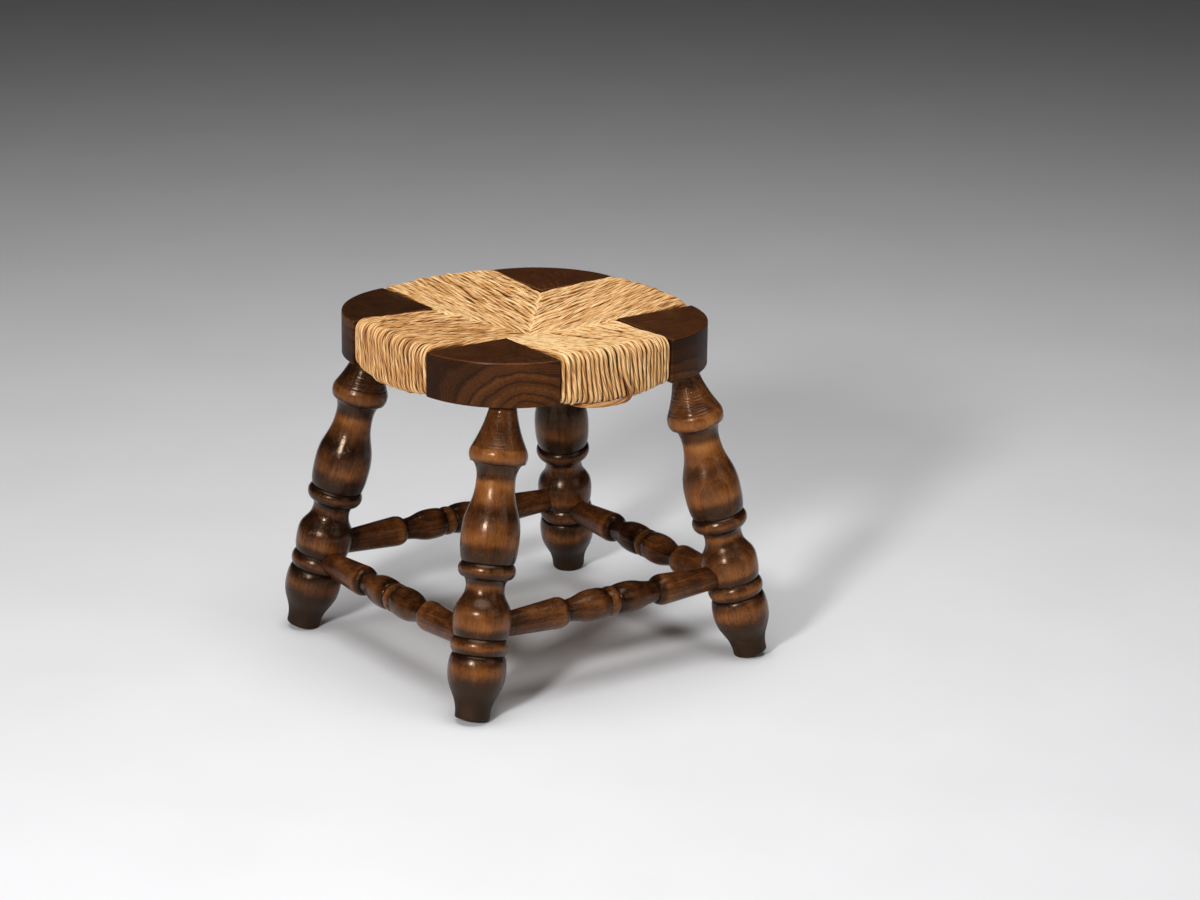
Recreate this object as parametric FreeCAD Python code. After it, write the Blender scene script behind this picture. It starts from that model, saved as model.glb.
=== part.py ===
import FreeCAD, Part
import math
import os

# A low stool with four turned legs, turned stretchers and a rush seat on four corner blocks.
# Millimetres. The origin is on the floor under the middle of the seat, with Z up.
# The seat rails run along X and Y, and the legs stand on the diagonals.

# Seat blocks
seat_height = 332.0
block_thickness = 43.0
block_side_offset = 63.0  # from the middle lines of the seat to the side faces of a block
block_arc_centre = 56.0  # from the middle lines to the centre of the rounded outer face
block_arc_radius = 97.0
block_edge_round = 1.8

# Seat rails, hidden in the rush
rail_height = 34.0
rail_thickness = 20.0
rail_bow = 6.0
rail_edge_round = 5.0
rail_top_drop = 3.0  # from the top of the blocks down to the top of the rails
rail_tenon_length = 18.0
rail_tenon_thickness = 12.0
rail_tenon_height = 24.0

# Rush
strand_thickness = 5.5
face_setback = 0.8  # the rush lies this far behind the corner of a block
face_bulge = 7.3
crown_at_ends = 2.5  # how far the rush stands above the blocks
crown_at_middle = 4.5
belly_at_ends = 0.5  # how far the rush hangs below the blocks
belly_at_middle = 6.0
top_round = 11.0
bottom_round = 9.0
seat_dip = 21.5
corner_dip = 0.5
middle_thickness = 14.5

# Stuffing between the upper and the lower layer of rush
layer_thickness = 6.0
stuffing_side_wall = 8.0
stuffing_seam_wall = 14.0
stuffing_inner_reach = 34.0

# Leg positions, measured from the middle of the stool along a diagonal
leg_socket_reach = 153.5  # at the underside of the blocks
leg_floor_reach = 223.5  # where the leg's middle line meets the floor
# The legs were set by hand, so each stands a little off: outwards and sideways at its block,
# then outwards and sideways at the floor
leg_shifts = {
    "front": (-1.5, 10.0, -1.0, -5.0),
    "right": (2.5, -8.0, 2.5, 5.0),
    "back": (1.5, -3.5, 1.0, -7.0),
    "left": (-2.5, -8.0, -3.5, 5.5),
}

# Leg turning, from the sole upwards
sole_radius = 16.2
sole_round = 2.0
floor_wear = 0.8  # the inner edge of the sole is worn flat on the floor
foot_length = 45.6
bulb_radius = 27.3
bulb_shoulder = 15.0
groove_radius = 23.8
lower_ring_width = 16.0
ring_radius = 27.0
ball_rise = 19.4
ball_radius = 27.4
ball_shoulder = 27.6
neck_radius = 18.2
ring_cove = 8.7
upper_ring_width = 13.8
vase_rise = 23.5
vase_radius = 27.4
collar_cove = 15.7
collar_edge_radius = 25.6
collar_width = 13.8
collar_radius = 27.4
flare_length = 42.5
flare_sag = 1.5
leg_tenon_radius = 12.5
leg_tenon_lead = 4.0
leg_tenon_length = 30.0

# Stretcher turning, from the middle outwards
upper_stretcher_height = 83.0
lower_stretcher_height = 72.0
bead_width = 12.0
bead_radius = 14.4
bead_groove_radius = 13.0
stretcher_vase_reach = 19.0
stretcher_vase_radius = 15.4
stretcher_neck_reach = 52.0
stretcher_neck_radius = 10.6
stretcher_shoulder_width = 9.0
stretcher_shoulder_radius = 15.0
stretcher_end_radius = 10.5
stretcher_stop = 12.0  # the ends stop this far from the middle line of a leg

# Clearances
joint_clearance = 0.1
end_clearance = 0.5
rush_clearance = 0.4
seam_clearance = 0.3

corner_angles = {"back": 45.0, "left": 135.0, "front": 225.0, "right": 315.0}
# The two corners of each side of the stool. The front right side faces -Y.
sides = {
    "front_right": ("front", "right"),
    "back_right": ("right", "back"),
    "back_left": ("back", "left"),
    "front_left": ("left", "front"),
}
stretcher_heights = {
    "front_right": upper_stretcher_height,
    "back_right": lower_stretcher_height,
    "back_left": upper_stretcher_height,
    "front_left": lower_stretcher_height,
}

origin = FreeCAD.Vector(0, 0, 0)
upwards = FreeCAD.Vector(0, 0, 1)
block_underside = seat_height - block_thickness
arc_half_chord = block_side_offset - block_arc_centre
side_line = block_arc_centre + math.sqrt(block_arc_radius**2 - arc_half_chord**2)
rail_face = side_line - strand_thickness
rail_back = rail_face - rail_thickness
rail_top = seat_height - rail_top_drop
tenon_middle = (rail_face + rail_back) / 2
rush_half_width = block_side_offset - rush_clearance


def turned_about_z(shape, degrees):
    copy = shape.copy()
    copy.rotate(origin, upwards, degrees)
    return copy


def turned_to_side(shape, name):
    # from the side that faces -Y
    turn = corner_angles[sides[name][0]] - corner_angles["front"]
    return turned_about_z(shape, turn % 360)


def line(start, end):
    return Part.LineSegment(start, end).toShape()


def arc(start, middle, end):
    return Part.Arc(start, middle, end).toShape()


def curve(*poles):
    bezier = Part.BezierCurve()
    bezier.setPoles(list(poles))
    return bezier.toShape()


def at(radius, height):
    # a point of a turned outline, which lies in the XZ plane
    return FreeCAD.Vector(radius, 0, height)


def ogee(start, end):
    # runs along the axis at both ends, as between a neck and a belly
    middle = (start.z + end.z) / 2
    return curve(start, at(start.x, middle), at(end.x, middle), end)


def round_off(side, edge):
    # runs along the axis at the side and square to it at the edge, nearly a quarter of an ellipse
    fullness = 0.55
    side_pole = at(side.x, side.z + fullness * (edge.z - side.z))
    edge_pole = at(edge.x + fullness * (side.x - edge.x), edge.z)
    return curve(side, side_pole, edge_pole, edge)


def bead(start, end, radius):
    return arc(start, at(radius, (start.z + end.z) / 2), end)


def lathe(edges):
    outline = Part.Wire(edges)
    return Part.Face(outline).revolve(origin, upwards, 360)


def box(low, high):
    size = high - low
    return Part.makeBox(size.x, size.y, size.z, low)


def leg_line(corner):
    # where a leg's middle line crosses the underside of its block and the floor
    angle = math.radians(corner_angles[corner])
    outwards = FreeCAD.Vector(math.cos(angle), math.sin(angle), 0)
    sideways = FreeCAD.Vector(-math.sin(angle), math.cos(angle), 0)
    socket_out, socket_side, floor_out, floor_side = leg_shifts[corner]
    socket = outwards * (leg_socket_reach + socket_out) + sideways * socket_side
    foot = outwards * (leg_floor_reach + floor_out) + sideways * floor_side
    return socket + upwards * block_underside, foot


def leg_axis(corner):
    # the middle of the sole, the direction up the leg and the length up to the block
    socket, foot = leg_line(corner)
    direction = (socket - foot).normalize()
    lean = math.acos(direction.z)
    sole_height = (sole_radius - sole_round) * math.sin(lean) - floor_wear
    sole = foot + direction * (sole_height / direction.z)
    return sole, direction, (socket - sole).Length


def leg_point(corner, height):
    socket, foot = leg_line(corner)
    return foot + (socket - foot) * (height / socket.z)


def leg_outline(length):
    corner_middle = sole_round * (1 - math.sqrt(0.5))
    bulb = at(bulb_radius, foot_length)
    groove = at(groove_radius, bulb.z + bulb_shoulder)
    ball_base = at(groove_radius, groove.z + lower_ring_width)
    ball = at(ball_radius, ball_base.z + ball_rise)
    neck = at(neck_radius, ball.z + ball_shoulder)
    ring_base = at(groove_radius, neck.z + ring_cove)
    vase_base = at(groove_radius, ring_base.z + upper_ring_width)
    vase = at(vase_radius, vase_base.z + vase_rise)
    collar_top = at(collar_edge_radius, length - flare_length)
    collar_base = at(collar_edge_radius, collar_top.z - collar_width)
    collar_neck = at(neck_radius, collar_base.z - collar_cove)
    tenon_base = at(leg_tenon_radius, length - leg_tenon_lead)
    tenon_top = at(leg_tenon_radius, length + leg_tenon_length)
    flare_run = collar_top - tenon_base
    flare_inward = at(flare_run.z, -flare_run.x).normalize()
    flare_middle = (tenon_base + collar_top) * 0.5 + flare_inward * flare_sag
    sole_edge = at(sole_radius - sole_round, 0)
    foot_edge = at(sole_radius, sole_round)
    return [
        line(origin, sole_edge),
        arc(sole_edge, at(sole_radius - corner_middle, corner_middle), foot_edge),
        ogee(foot_edge, bulb),
        round_off(bulb, groove),
        bead(groove, ball_base, ring_radius),
        round_off(ball, ball_base),
        ogee(ball, neck),
        round_off(neck, ring_base),
        bead(ring_base, vase_base, ring_radius),
        round_off(vase, vase_base),
        ogee(vase, collar_neck),
        round_off(collar_neck, collar_base),
        bead(collar_base, collar_top, collar_radius),
        arc(collar_top, flare_middle, tenon_base),
        line(tenon_base, tenon_top),
        line(tenon_top, at(0, tenon_top.z)),
        line(at(0, tenon_top.z), origin),
    ]


def leg(corner):
    sole, direction, length = leg_axis(corner)
    turning = lathe(leg_outline(length))
    turning.Placement = FreeCAD.Placement(sole, FreeCAD.Rotation(upwards, direction))
    reach = leg_floor_reach + sole_radius
    floor = box(FreeCAD.Vector(-2 * reach, -2 * reach, -reach), FreeCAD.Vector(2 * reach, 2 * reach, 0))
    sockets = [stretcher_socket(name, corner) for name in sides if corner in sides[name]]
    return turning.cut([floor] + sockets)


def leg_mortise(corner):
    sole, direction, length = leg_axis(corner)
    start = sole + direction * (length - leg_tenon_lead)
    depth = leg_tenon_lead + leg_tenon_length
    return Part.makeCylinder(leg_tenon_radius + joint_clearance, depth, start, direction)


def stretcher_ends(name):
    first, second = sides[name]
    height = stretcher_heights[name]
    return leg_point(first, height), leg_point(second, height)


def stretcher_half_length(name):
    start, end = stretcher_ends(name)
    return (end - start).Length / 2 - stretcher_stop


def stretcher_taper(name):
    cone_start = stretcher_neck_reach + stretcher_shoulder_width
    cone_length = stretcher_half_length(name) - cone_start
    return (stretcher_shoulder_radius - stretcher_end_radius) / cone_length


def stretcher_half_outline(half_length, way):
    groove = at(bead_groove_radius, way * bead_width / 2)
    vase = at(stretcher_vase_radius, way * stretcher_vase_reach)
    neck = at(stretcher_neck_radius, way * stretcher_neck_reach)
    shoulder = at(stretcher_shoulder_radius, neck.z + way * stretcher_shoulder_width)
    end = at(stretcher_end_radius, way * half_length)
    return [
        round_off(vase, groove),
        ogee(vase, neck),
        round_off(shoulder, neck),
        line(shoulder, end),
        line(end, at(0, end.z)),
    ]


def stretcher(name):
    start, end = stretcher_ends(name)
    half_length = stretcher_half_length(name)
    lower_groove = at(bead_groove_radius, -bead_width / 2)
    upper_groove = at(bead_groove_radius, bead_width / 2)
    outline = stretcher_half_outline(half_length, -1)
    outline.reverse()
    outline.append(bead(lower_groove, upper_groove, bead_radius))
    outline.extend(stretcher_half_outline(half_length, 1))
    outline.append(line(at(0, half_length), at(0, -half_length)))
    turning = lathe(outline)
    turning.Placement = FreeCAD.Placement((start + end) * 0.5, FreeCAD.Rotation(upwards, end - start))
    return turning


def stretcher_socket(name, corner):
    start, end = stretcher_ends(name)
    if corner == sides[name][1]:
        start, end = end, start
    direction = (end - start).normalize()
    depth = stretcher_stop - end_clearance
    length = 2 * vase_radius - depth
    end_radius = stretcher_end_radius - end_clearance * stretcher_taper(name) + joint_clearance
    mouth_radius = end_radius + length * stretcher_taper(name)
    return Part.makeCone(end_radius, mouth_radius, length, start + direction * depth, direction)


def rail_tenons(grow):
    # both tenons of the rail on the side that faces -Y
    half_thickness = rail_tenon_thickness / 2 + grow
    half_height = rail_tenon_height / 2 + grow
    length = rail_tenon_length + grow
    middle = rail_top - rail_height / 2
    low = FreeCAD.Vector(block_side_offset, -tenon_middle - half_thickness, middle - half_height)
    high = FreeCAD.Vector(low.x + length, -tenon_middle + half_thickness, middle + half_height)
    tenon = box(low, high)
    return [tenon, tenon.mirror(origin, FreeCAD.Vector(1, 0, 0))]


def rail_body(grow):
    # bowed on the outside, on the side that faces -Y
    bottom = rail_top - rail_height - grow
    face_left = FreeCAD.Vector(-block_side_offset, -rail_face - grow, bottom)
    face_middle = FreeCAD.Vector(0, -rail_face - rail_bow - grow, bottom)
    face_right = FreeCAD.Vector(block_side_offset, -rail_face - grow, bottom)
    back_right = FreeCAD.Vector(block_side_offset, -rail_back + grow, bottom)
    back_left = FreeCAD.Vector(-block_side_offset, -rail_back + grow, bottom)
    outline = Part.Wire([
        arc(face_left, face_middle, face_right),
        line(face_right, back_right),
        line(back_right, back_left),
        line(back_left, face_left),
    ])
    body = Part.Face(outline).extrude(upwards * (rail_height + 2 * grow))
    long_edges = [edge for edge in body.Edges if edge.BoundBox.XLength > block_side_offset]
    return body.makeFillet(rail_edge_round, long_edges)


def rail(name):
    joined = rail_body(0).fuse(rail_tenons(0))
    return turned_to_side(joined, name)


def block(corner):
    inner = FreeCAD.Vector(block_side_offset, block_side_offset, block_underside)
    right = FreeCAD.Vector(side_line, block_side_offset, block_underside)
    left = FreeCAD.Vector(block_side_offset, side_line, block_underside)
    apex_offset = block_arc_centre + block_arc_radius * math.sqrt(0.5)
    apex = FreeCAD.Vector(apex_offset, apex_offset, block_underside)
    outline = Part.Wire([line(inner, right), arc(right, apex, left), line(left, inner)])
    body = Part.Face(outline).extrude(upwards * block_thickness)
    body = body.makeFillet(block_edge_round, body.Edges)
    body = turned_about_z(body, corner_angles[corner] - corner_angles["back"])
    mortises = [leg_mortise(corner)]
    for name in sides:
        if corner in sides[name]:
            mortises += [turned_to_side(tenon, name) for tenon in rail_tenons(joint_clearance)]
    return body.cut(mortises)


def bulging(at_ends, at_middle, across):
    share = across / block_side_offset
    return at_middle + (at_ends - at_middle) * share * share


def rush_face(across):
    return side_line - face_setback + bulging(0, face_bulge, across)


def rush_top(across, out):
    # straight from the crown down to the seam, which falls from the block's corner to the middle
    crown_out = rush_face(across) - top_round
    crown_height = seat_height + bulging(crown_at_ends, crown_at_middle, across)
    seam_out = abs(across)
    seam_fall = seat_dip + (corner_dip - seat_dip) * seam_out / block_side_offset
    seam_height = seat_height - seam_fall
    slope = (crown_height - seam_height) / (crown_out - seam_out)
    return seam_height + slope * (out - seam_out)


def rush_bottom(across, out):
    belly_out = rush_face(across) - bottom_round
    belly_height = block_underside - bulging(belly_at_ends, belly_at_middle, across)
    middle_height = seat_height - seat_dip - middle_thickness
    return middle_height + (belly_height - middle_height) * out / belly_out


def rush_section(across):
    def point(out, height):
        return FreeCAD.Vector(across, -out, height)

    face = rush_face(across)
    top_middle = top_round * (1 - math.sqrt(0.5))
    bottom_middle = bottom_round * (1 - math.sqrt(0.5))
    top = rush_top(across, face - top_round)
    bottom = rush_bottom(across, face - bottom_round)
    inner_top = point(0, rush_top(across, 0))
    crown = point(face - top_round, top)
    face_top = point(face, top - top_round)
    face_bottom = point(face, bottom + bottom_round)
    belly = point(face - bottom_round, bottom)
    inner_bottom = point(0, rush_bottom(across, 0))
    return Part.Wire([
        line(inner_top, crown),
        arc(crown, point(face - top_middle, top - top_middle), face_top),
        line(face_top, face_bottom),
        arc(face_bottom, point(face - bottom_middle, bottom + bottom_middle), belly),
        line(belly, inner_bottom),
        line(inner_bottom, inner_top),
    ])


def panel_wedge():
    # the plan of one panel: between two blocks, then in to a point between the seams
    reach = rush_face(0) + face_bulge
    seam = seam_clearance * math.sqrt(0.5)
    corners = [
        FreeCAD.Vector(-rush_half_width, -reach, 0),
        FreeCAD.Vector(rush_half_width, -reach, 0),
        FreeCAD.Vector(rush_half_width, -rush_half_width - seam, 0),
        FreeCAD.Vector(0, -seam, 0),
        FreeCAD.Vector(-rush_half_width, -rush_half_width - seam, 0),
    ]
    outline = Part.makePolygon(corners + corners[:1])
    return Part.Face(outline).extrude(upwards * (2 * seat_height))


def stuffing_body(grow):
    stations = [
        (rail_back - rush_clearance + grow, block_side_offset - stuffing_side_wall),
        (block_side_offset, block_side_offset - stuffing_seam_wall),
        (stuffing_inner_reach - grow, stuffing_inner_reach - stuffing_seam_wall),
    ]
    sections = []
    for out, half_width in stations:
        wide = half_width + grow
        top = rush_top(0, out) - layer_thickness + grow
        bottom = rush_bottom(0, out) + layer_thickness - grow
        corners = [
            FreeCAD.Vector(-wide, -out, bottom),
            FreeCAD.Vector(wide, -out, bottom),
            FreeCAD.Vector(wide, -out, top),
            FreeCAD.Vector(-wide, -out, top),
        ]
        sections.append(Part.makePolygon(corners + corners[:1]))
    return Part.makeLoft(sections, True, True)


def stuffing(name):
    return turned_to_side(stuffing_body(0), name)


def rush_panel(name):
    spread = [-1, -0.5, 0, 0.5, 1]
    sections = [rush_section(share * rush_half_width) for share in spread]
    pad = Part.makeLoft(sections, True, False)
    panel = pad.common(panel_wedge())
    panel = panel.cut([rail_body(rush_clearance), stuffing_body(rush_clearance)])
    return turned_to_side(panel, name)


def save(shape, node):
    solids = shape.Solids
    if len(solids) != 1 or not shape.isValid():
        raise ValueError(f"{node} is {len(solids)} solids, valid {shape.isValid()}")
    solids[0].exportStep(f"parts/{node}.step")
    print(f"{node}: {solids[0].Volume / 1000:.1f} cm3")


os.makedirs("parts", exist_ok=True)
for corner in corner_angles:
    save(block(corner), f"{corner}_corner_block")
    save(leg(corner), f"{corner}_leg")
for side in sides:
    save(rail(side), f"{side}_seat_rail")
    save(rush_panel(side), f"{side}_rush_panel")
    save(stuffing(side), f"{side}_stuffing_pad")
    save(stretcher(side), f"{side}_stretcher")
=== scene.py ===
import math
import random

import bpy
from mathutils import Matrix, Vector, noise


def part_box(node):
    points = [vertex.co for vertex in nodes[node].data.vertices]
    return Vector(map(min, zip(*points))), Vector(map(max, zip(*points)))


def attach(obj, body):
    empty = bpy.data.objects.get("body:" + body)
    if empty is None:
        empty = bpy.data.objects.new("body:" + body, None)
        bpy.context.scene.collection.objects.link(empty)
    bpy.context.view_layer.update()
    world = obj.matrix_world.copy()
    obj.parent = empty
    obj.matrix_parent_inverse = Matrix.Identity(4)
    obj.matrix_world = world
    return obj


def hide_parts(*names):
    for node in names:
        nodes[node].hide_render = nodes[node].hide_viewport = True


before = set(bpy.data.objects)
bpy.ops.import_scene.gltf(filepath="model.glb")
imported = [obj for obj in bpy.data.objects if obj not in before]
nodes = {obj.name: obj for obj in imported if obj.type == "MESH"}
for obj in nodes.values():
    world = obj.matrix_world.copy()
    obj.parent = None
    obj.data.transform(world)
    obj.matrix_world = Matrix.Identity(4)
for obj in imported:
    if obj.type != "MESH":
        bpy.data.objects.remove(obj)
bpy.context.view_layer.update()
scene = bpy.context.scene
print("frame loaded:", len(nodes), "nodes")

cornerAngles = {"back": 45, "left": 135, "front": 225, "right": 315}
# turns from the side that faces -Y
sideTurns = {"front_right": 0, "back_right": 90, "back_left": 180, "front_left": 270}
sideCorners = {
    "front_right": ("front", "right"),
    "back_right": ("right", "back"),
    "back_left": ("back", "left"),
    "front_left": ("left", "front"),
}


# small helpers for node trees

def put(tree, kind, inputs=None, **properties):
    node = tree.nodes.new(kind)
    for key, value in properties.items():
        setattr(node, key, value)
    for key, value in (inputs or {}).items():
        if isinstance(value, bpy.types.NodeSocket):
            tree.links.new(value, node.inputs[key])
        else:
            node.inputs[key].default_value = value
    return node


def calc(tree, operation, first, second=0.0):
    return put(tree, "ShaderNodeMath", {0: first, 1: second}, operation=operation).outputs[0]


def addScaled(tree, value, factor, base):
    return put(tree, "ShaderNodeMath", {0: value, 1: factor, 2: base}, operation="MULTIPLY_ADD").outputs[0]


def vectorCalc(tree, operation, first, second):
    return put(tree, "ShaderNodeVectorMath", {0: first, 1: second}, operation=operation).outputs[0]


def mixColour(tree, factor, first, second):
    return put(tree, "ShaderNodeMix", {0: factor, 6: first, 7: second}, data_type="RGBA").outputs[2]


def grey(level):
    return (level, level, level)


def ramp(tree, value, stops, interpolation="LINEAR"):
    node = put(tree, "ShaderNodeValToRGB", {0: value})
    node.color_ramp.interpolation = interpolation
    elements = node.color_ramp.elements
    elements.remove(elements[1])
    elements[0].position = stops[0][0]
    elements[0].color = (*stops[0][1], 1)
    for position, colour in stops[1:]:
        elements.new(position).color = (*colour, 1)
    return node.outputs[0]


def spread(tree, value, low, high, newLow=0.0, newHigh=1.0):
    sockets = {"Value": value, "From Min": low, "From Max": high, "To Min": newLow, "To Max": newHigh}
    return put(tree, "ShaderNodeMapRange", sockets).outputs[0]


def evened(tree, value, newLow=-1.0, newHigh=1.0):
    return spread(tree, value, 0.3, 0.7, newLow, newHigh)  # most of a noise lies between these


def toneAlong(tree, place, length, stops, interpolation="LINEAR"):
    share = calc(tree, "DIVIDE", place, length)
    return ramp(tree, share, [(spot / length, grey(tone)) for spot, tone in stops], interpolation)


def mottle(tree, vector, scale, detail=3.0, roughness=0.55, distortion=0.0):
    sockets = {
        "Vector": vector, "Scale": scale, "Detail": detail, "Roughness": roughness, "Distortion": distortion,
    }
    return put(tree, "ShaderNodeTexNoise", sockets).outputs["Fac"]


def newMaterial(name):
    material = bpy.data.materials.new(name)
    material.use_nodes = True
    material.node_tree.nodes.clear()
    return material, material.node_tree


def finishMaterial(tree, colour, roughness, normal, settings):
    inputs = {"Base Color": colour, "Roughness": roughness, "Normal": normal, **settings}
    shader = put(tree, "ShaderNodeBsdfPrincipled", inputs).outputs[0]
    put(tree, "ShaderNodeOutputMaterial", {"Surface": shader})


def bump(tree, height, distance, under=None):
    sockets = {"Height": height, "Distance": distance}
    if under is not None:
        sockets["Normal"] = under
    return put(tree, "ShaderNodeBump", sockets).outputs[0]


def axisMapping(tree, origin, direction):
    # object coordinates turned so that the piece's own axis runs up local Z from the origin
    back = direction.to_track_quat("Z", "Y").to_matrix().inverted()
    source = put(tree, "ShaderNodeTexCoord").outputs["Object"]
    sockets = {"Vector": source, "Location": -(back @ origin), "Rotation": back.to_euler("XYZ")}
    return put(tree, "ShaderNodeMapping", sockets).outputs[0], back


# stained and varnished turned wood

woodTones = {
    "stops": [
        (0.0, (0.0080, 0.0027, 0.0010)),
        (0.12, (0.0180, 0.0058, 0.0018)),
        (0.3, (0.058, 0.0180, 0.0048)),
        (0.6, (0.195, 0.066, 0.0158)),
        (1.0, (0.44, 0.180, 0.045)),
    ],
    "sheen": (1.0, 0.70, 0.49, 1.0),
}


def turnedWood(tree, local, along, heart, ringDepth, paler, tooling, settings):
    # along is the place on the piece's axis in metres, heart the middle of the growth rings
    s = settings
    wander = mottle(tree, local, s["wanderScale"], 2.0)
    place = calc(tree, "ADD", along, addScaled(tree, wander, s["wander"], -0.5 * s["wander"]))
    tone = toneAlong(tree, place, s["length"], s["bands"], "EASE")
    stretched = vectorCalc(tree, "MULTIPLY", local, (1.0, 1.0, s["stretch"]))
    grain = mottle(tree, stretched, s["grainScale"], 4.0, 0.6, 0.3)
    fine = mottle(tree, stretched, s["fineScale"], 2.0)
    blotch = mottle(tree, local, s["blotchScale"], 3.0)
    offset = vectorCalc(tree, "SUBTRACT", local, heart)
    ringSpace = vectorCalc(tree, "MULTIPLY", offset, (1.0, 1.0, s["ringStretch"]))
    rings = put(tree, "ShaderNodeTexWave", {
        "Vector": ringSpace, "Scale": s["ringScale"], "Distortion": s["ringDistortion"],
        "Detail": 2.0, "Detail Scale": 0.8, "Detail Roughness": 0.5,
    }, wave_type="RINGS", rings_direction="Z", wave_profile="SAW").outputs["Fac"]
    fleckSpace = vectorCalc(tree, "MULTIPLY", local, (1.0, 1.0, s["fleckStretch"]))
    flecks = spread(tree, mottle(tree, fleckSpace, s["fleckScale"], 1.0), *s["fleckEdge"])
    total = calc(tree, "ADD", tone, paler)
    for value, depth in [
        (evened(tree, grain), s["grainDepth"]),
        (evened(tree, fine), s["fineDepth"]),
        (evened(tree, blotch), s["blotchDepth"]),
        (spread(tree, rings, 0.0, 1.0, -1.0, 1.0), ringDepth),
        (flecks, -s["fleckDepth"]),
    ]:
        total = addScaled(tree, value, depth, total)
    colour = ramp(tree, total, woodTones["stops"])
    lineSockets = {"W": along, "Scale": s["latheScale"], "Detail": 1.0}
    lines = put(tree, "ShaderNodeTexNoise", lineSockets, noise_dimensions="1D").outputs["Fac"]
    mask = toneAlong(tree, along, s["length"], s["latheMask"])
    lathe = calc(tree, "MULTIPLY", calc(tree, "MULTIPLY", lines, mask), tooling)
    normal = bump(tree, addScaled(tree, flecks, -s["poreDepth"], lathe), s["latheHeight"])
    normal = bump(tree, fine, s["fineHeight"], normal)
    normal = bump(tree, blotch, s["waveHeight"], normal)
    gloss = evened(tree, blotch, *s["gloss"])
    dull = toneAlong(tree, along, s["length"], s["dullness"])
    roughness = addScaled(tree, mask, s["latheGloss"], calc(tree, "ADD", gloss, dull))
    finishMaterial(tree, colour, roughness, normal, s["shader"])


# legs

legStance = {
    "socketReach": 0.1535,
    "floorReach": 0.2235,
    "shifts": {  # outwards and sideways at the block, then at the floor
        "front": (-0.0015, 0.0100, -0.0010, -0.0050),
        "right": (0.0025, -0.0080, 0.0025, 0.0050),
        "back": (0.0015, -0.0035, 0.0010, -0.0070),
        "left": (-0.0025, -0.0080, -0.0035, 0.0055),
    },
}
legWood = {
    "length": 0.300,
    "bands": [  # height up the leg, how light the stain is
        (0.015, 0.00), (0.034, 0.05), (0.050, 0.46), (0.058, 0.25), (0.0628, 0.00), (0.066, 0.09),
        (0.071, 0.42), (0.077, 0.18), (0.0792, 0.00), (0.083, 0.10), (0.091, 0.50), (0.100, 0.38),
        (0.112, 0.18), (0.120, 0.20), (0.1262, 0.42), (0.132, 0.08), (0.135, 0.00), (0.142, 0.40),
        (0.148, 0.00), (0.153, 0.08), (0.160, 0.18), (0.170, 0.52), (0.182, 0.40), (0.197, 0.22),
        (0.210, 0.45), (0.222, 0.68), (0.230, 0.24), (0.239, 0.10), (0.246, 0.58), (0.2535, 0.48),
        (0.256, 0.27), (0.296, 0.34),
    ],
    "latheMask": [(0.0, 0.16), (0.250, 0.14), (0.256, 1.0), (0.296, 1.0)],
    "shader": {"Specular IOR Level": 0.40, "Specular Tint": woodTones["sheen"]},
    "tooling": {"front": 0.35, "right": 1.7, "back": 0.6, "left": 1.4},  # how deep the lathe's lines are
    "wander": 0.0055, "wanderScale": 60.0,
    "hearts": {
        "front": (0.03, -0.02, 0), "right": (0.021, 0.029, 0),
        "back": (-0.03, 0.02, 0), "left": (-0.03, 0.022, 0),
    },
    "stretch": 0.07, "grainScale": 640.0, "grainDepth": 0.05,
    "fineScale": 2000.0, "fineDepth": 0.055, "fineHeight": 0.00005,
    "blotchScale": 45.0, "blotchDepth": 0.11,
    "ringStretch": 0.16, "ringScale": 46.0, "ringDistortion": 3.6,
    "ringDepths": {"front": 0.03, "right": 0.055, "back": 0.04, "left": 0.04},
    "tones": {"front": 0.02, "right": 0.08, "back": -0.05, "left": -0.10},
    "fleckStretch": 0.18, "fleckScale": 1500.0, "fleckEdge": (0.57, 0.66), "fleckDepth": 0.12,
    "poreDepth": 0.15,
    "latheScale": 620.0, "latheHeight": 0.0004, "waveHeight": 0.0004,
    "gloss": (0.17, 0.25), "latheGloss": -0.05,
    "dullness": [(0.020, 0.45), (0.042, 0.0)],  # the varnish is worn off the feet
}


def legLine(corner):
    angle = math.radians(cornerAngles[corner])
    outwards = Vector((math.cos(angle), math.sin(angle), 0))
    sideways = Vector((-math.sin(angle), math.cos(angle), 0))
    socketOut, socketSide, floorOut, floorSide = legStance["shifts"][corner]
    socket = outwards * (legStance["socketReach"] + socketOut) + sideways * socketSide
    socket.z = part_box(corner + "_corner_block")[0].z
    foot = outwards * (legStance["floorReach"] + floorOut) + sideways * floorSide
    return foot, socket


def wear(node, material):
    slots = nodes[node].data.materials
    slots.clear()
    slots.append(material)


for corner in cornerAngles:
    foot, socket = legLine(corner)
    material, tree = newMaterial(corner + "LegWood")
    local, back = axisMapping(tree, foot, (socket - foot).normalized())
    along = put(tree, "ShaderNodeSeparateXYZ", {0: local}).outputs[2]
    heart = back @ Vector(legWood["hearts"][corner])
    own = [legWood[key][corner] for key in ("ringDepths", "tones", "tooling")]
    turnedWood(tree, local, along, heart, *own, legWood)
    wear(corner + "_leg", material)
print("legs stained")


# stretchers

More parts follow.
